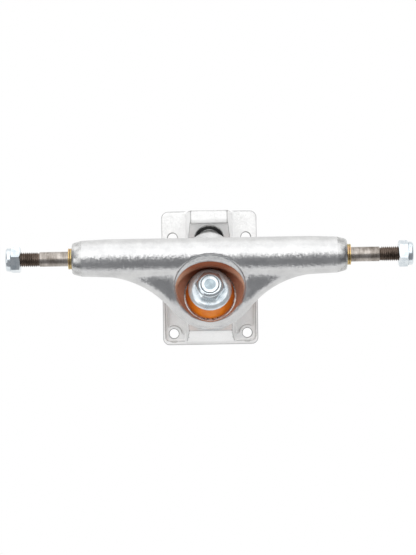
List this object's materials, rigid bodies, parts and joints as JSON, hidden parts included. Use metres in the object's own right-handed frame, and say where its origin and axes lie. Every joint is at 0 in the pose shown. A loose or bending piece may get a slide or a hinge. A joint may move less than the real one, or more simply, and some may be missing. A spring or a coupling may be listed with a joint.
{
  "type": "skateboard truck",
  "caption": "Skateboard truck: a cast hanger on a leaning kingpin steers on urethane bushings over a flat bolt-on baseplate and carries a threaded axle for wheels.",
  "frame": {"origin": "centre of the four-bolt pattern on the baseplate's deck face", "axes": "+Z out of the board, away from the deck; +X along the axle; +Y from the kingpin towards the pivot cup"},
  "size_m": [0.2208, 0.0752, 0.0654],
  "materials": {
    "cast_baseplate": "tumbled raw casting",
    "cast_hanger": "satin tumbled casting with a fine sparkle",
    "zinc_steel": "bright zinc plated steel",
    "axle_steel": "bare ground steel, slightly tarnished",
    "yellow_zinc": "yellow zinc plated steel",
    "amber_urethane": "cast urethane, glossy amber",
    "black_cup": "matt black urethane",
    "nylon_insert": "natural nylon"
  },
  "bodies": {
    "base": {"baseplate": "cast_baseplate", "pivot_cup": "black_cup", "kingpin": "zinc_steel", "bottom_washer": "zinc_steel", "bottom_bushing": "amber_urethane", "top_bushing": "amber_urethane", "top_washer": "zinc_steel"},
    "hanger": {"hanger": "cast_hanger", "axle": "axle_steel"},
    "kingpin_nut_carrier": {"kingpin_nut_insert": "nylon_insert"},
    "kingpin_nut": {"kingpin_nut": "zinc_steel"},
    "axle_nut_carrier_left": {"axle_nut_insert_left": "nylon_insert"},
    "axle_nut_left": {"axle_nut_left": "zinc_steel"},
    "axle_nut_carrier_right": {"axle_nut_insert_right": "nylon_insert"},
    "axle_nut_right": {"axle_nut_right": "zinc_steel"},
    "washer_left_inner": {"speed_washer_left_inner": "yellow_zinc"},
    "washer_left_outer": {"speed_washer_left_outer": "yellow_zinc"},
    "washer_right_inner": {"speed_washer_right_inner": "yellow_zinc"},
    "washer_right_outer": {"speed_washer_right_outer": "yellow_zinc"}
  },
  "joints": [
    {"name": "steer", "type": "hinge", "parent": "base", "child": "hanger", "pos_m": [0, 0.0317, 0.01103], "axis": [0, -0.878, 0.4786], "range_deg": [-15, 15], "stiffness_Nm_per_rad": 30, "deforming": ["top_bushing", "bottom_bushing", "pivot_cup"]},
    {"name": "kingpin_nut_travel", "type": "slide", "parent": "base", "child": "kingpin_nut_carrier", "axis": [0, 0.309, 0.9511], "range_m": [0, 0.0032]},
    {"name": "kingpin_nut_turn", "type": "hinge", "parent": "kingpin_nut_carrier", "child": "kingpin_nut", "pos_m": [0, -0.0132, 0.013], "axis": [0, 0.309, 0.9511], "range_deg": [0, 1080]},
    {"name": "axle_nut_left_travel", "type": "slide", "parent": "hanger", "child": "axle_nut_carrier_left", "axis": [-1, 0, 0], "range_m": [-0.0054, 0.0043]},
    {"name": "axle_nut_left_turn", "type": "hinge", "parent": "axle_nut_carrier_left", "child": "axle_nut_left", "pos_m": [-0.1025, 0.0157, 0.055], "axis": [-1, 0, 0], "range_deg": [-1800, 1440]},
    {"name": "axle_nut_right_travel", "type": "slide", "parent": "hanger", "child": "axle_nut_carrier_right", "axis": [1, 0, 0], "range_m": [-0.0054, 0.0043]},
    {"name": "axle_nut_right_turn", "type": "hinge", "parent": "axle_nut_carrier_right", "child": "axle_nut_right", "pos_m": [0.1025, 0.0157, 0.055], "axis": [1, 0, 0], "range_deg": [-1800, 1440]},
    {"name": "washer_left_inner_slide", "type": "slide", "parent": "hanger", "child": "washer_left_inner", "axis": [-1, 0, 0], "range_m": [0, 0.0095]},
    {"name": "washer_left_outer_slide", "type": "slide", "parent": "washer_left_inner", "child": "washer_left_outer", "axis": [-1, 0, 0], "range_m": [0, 0.0095]},
    {"name": "washer_right_inner_slide", "type": "slide", "parent": "hanger", "child": "washer_right_inner", "axis": [1, 0, 0], "range_m": [0, 0.0095]},
    {"name": "washer_right_outer_slide", "type": "slide", "parent": "washer_right_inner", "child": "washer_right_outer", "axis": [1, 0, 0], "range_m": [0, 0.0095]}
  ],
  "couplings": [
    {"joint": "kingpin_nut_travel", "follows": "kingpin_nut_turn", "m_per_rad": 0.00016844},
    {"joint": "axle_nut_left_travel", "follows": "axle_nut_left_turn", "m_per_rad": 0.00016844},
    {"joint": "axle_nut_right_travel", "follows": "axle_nut_right_turn", "m_per_rad": 0.00016844}
  ]
}
